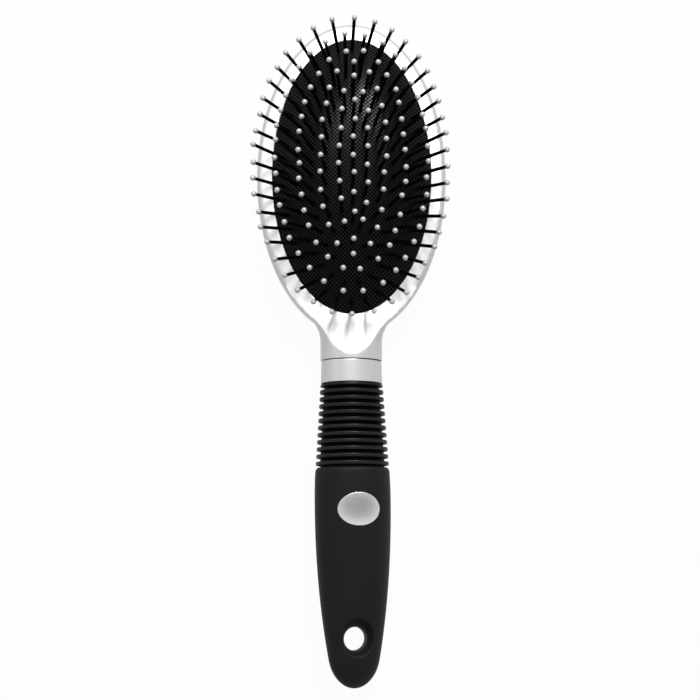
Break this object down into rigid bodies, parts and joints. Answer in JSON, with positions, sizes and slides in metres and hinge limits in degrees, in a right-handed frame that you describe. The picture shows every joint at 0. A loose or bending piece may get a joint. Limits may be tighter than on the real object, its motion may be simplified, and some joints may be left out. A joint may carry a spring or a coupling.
{
  "type": "cushion brush",
  "caption": "Oval hairbrush with ball-tipped pins in a domed rubber cushion, satin silver head and a ribbed, soft grip with a hanging hole.",
  "frame": {"origin": "centre of the flat field on the head's back, straight under the middle of the cushion; the brush lies on its back", "axes": "+Z out of the pins, +Y along the brush from the handle to the head's tip, +X to the right when the pins face the viewer and the head is up"},
  "size_m": [0.072, 0.2446, 0.0406],
  "materials": {
    "satin_silver": "satin silver lacquer on moulded plastic",
    "cushion_rubber": "matte black rubber with a fine woven texture",
    "pin_wire": "black coated steel wire, silver-grey plastic ball tips",
    "sleeve_rubber": "semi-gloss black rubber ribs",
    "grip_rubber": "matte soft-touch black",
    "core_plastic": "plain black plastic, hidden",
    "medallion_metal": "satin silver"
  },
  "bodies": {
    "brush_body": {"head_body": "satin_silver", "cushion": "cushion_rubber", "collar": "satin_silver", "handle_core": "core_plastic", "ribbed_sleeve": "sleeve_rubber", "grip": "grip_rubber", "medallion": "medallion_metal"},
    "outer_pins": {"pin_row_1": "pin_wire"},
    "second_pins": {"pin_row_2": "pin_wire"},
    "third_pins": {"pin_row_3": "pin_wire"},
    "fourth_pins": {"pin_row_4": "pin_wire"},
    "middle_pins": {"pin_row_middle": "pin_wire"}
  },
  "joints": [
    {"name": "cushion_press", "type": "slide", "parent": "brush_body", "child": "middle_pins", "axis": [0, 0, -1], "range_m": [0, 0.004], "stiffness_N_per_m": 1500, "springref_m": -0.0005, "deforming": ["cushion"]},
    {"name": "fourth_press", "type": "slide", "parent": "brush_body", "child": "fourth_pins", "axis": [0, 0, -1], "range_m": [0, 0.0037], "stiffness_N_per_m": 600, "springref_m": -0.0005},
    {"name": "third_press", "type": "slide", "parent": "brush_body", "child": "third_pins", "axis": [0, 0, -1], "range_m": [0, 0.0031], "stiffness_N_per_m": 600, "springref_m": -0.0005},
    {"name": "second_press", "type": "slide", "parent": "brush_body", "child": "second_pins", "axis": [0, 0, -1], "range_m": [0, 0.0023], "stiffness_N_per_m": 600, "springref_m": -0.0005},
    {"name": "outer_press", "type": "slide", "parent": "brush_body", "child": "outer_pins", "axis": [0, 0, -1], "range_m": [0, 0.0012], "stiffness_N_per_m": 600, "springref_m": -0.0005}
  ],
  "couplings": [
    {"joint": "fourth_press", "follows": "cushion_press", "ratio": 0.89},
    {"joint": "third_press", "follows": "cushion_press", "ratio": 0.77},
    {"joint": "second_press", "follows": "cushion_press", "ratio": 0.56},
    {"joint": "outer_press", "follows": "cushion_press", "ratio": 0.26}
  ]
}
